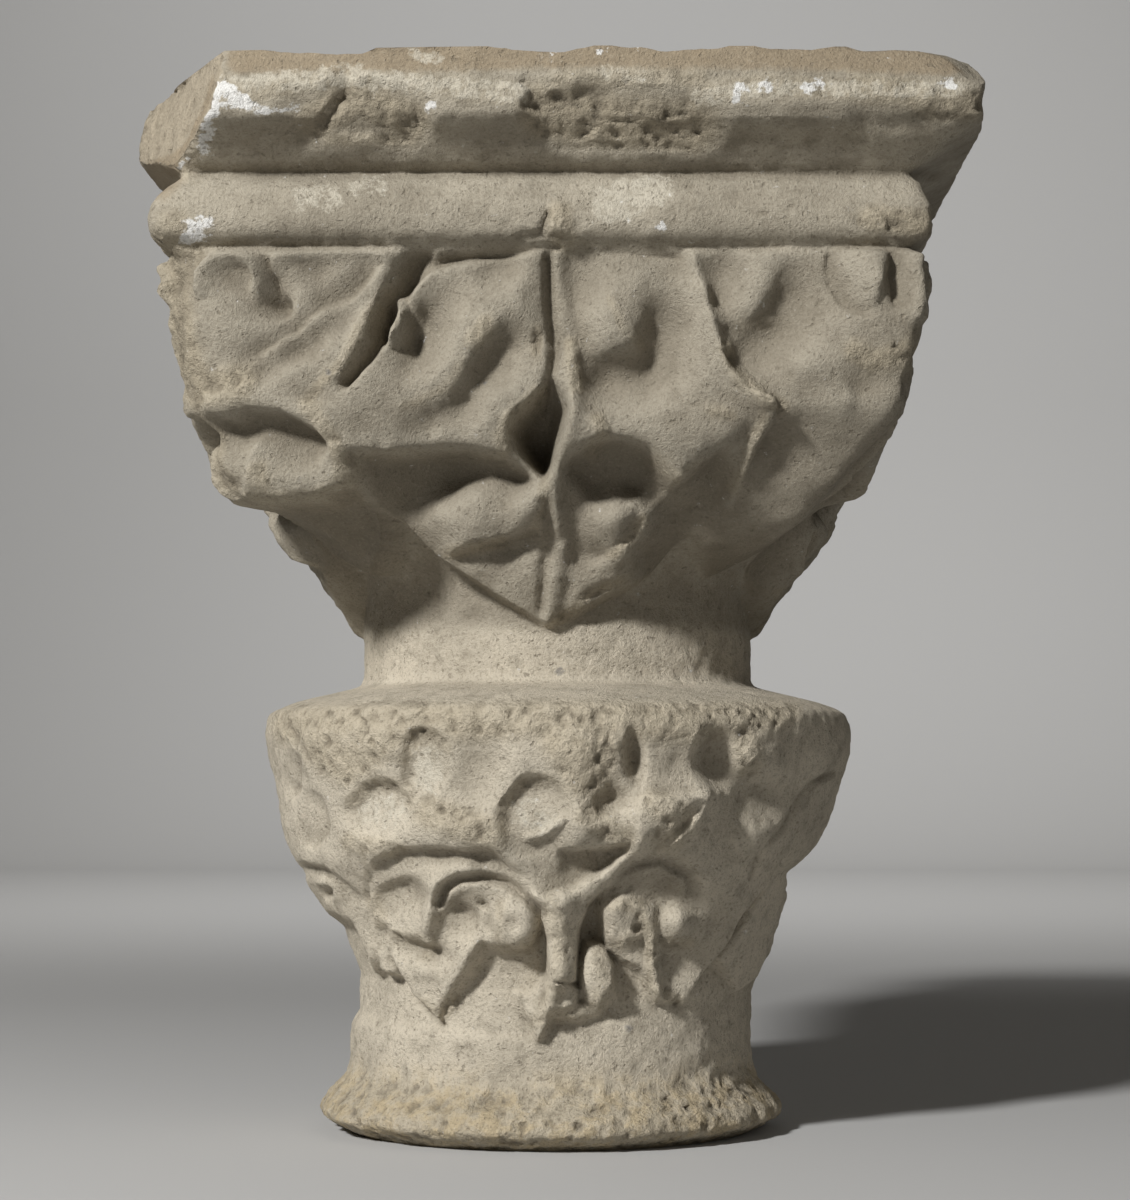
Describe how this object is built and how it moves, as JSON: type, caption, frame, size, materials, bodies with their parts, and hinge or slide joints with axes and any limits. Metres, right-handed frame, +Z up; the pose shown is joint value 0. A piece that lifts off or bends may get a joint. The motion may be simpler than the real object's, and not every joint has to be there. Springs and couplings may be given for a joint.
{
  "type": "double capital",
  "caption": "Carved stone double capital: a square moulded capital with worn leaves above a smaller round leaf capital, joined by a short round neck, in a single block.",
  "frame": {"origin": "centre of the bottom bed, on the axis of the round neck", "axes": "+Z up along the capital's axis, -Y towards the carved front seen in the picture, +X to the viewer's right"},
  "size_m": [0.298, 0.2981, 0.373],
  "materials": {
    "limestone": "matt, weathered"
  },
  "bodies": {
    "root": {"double_capital": "limestone"}
  },
  "joints": []
}
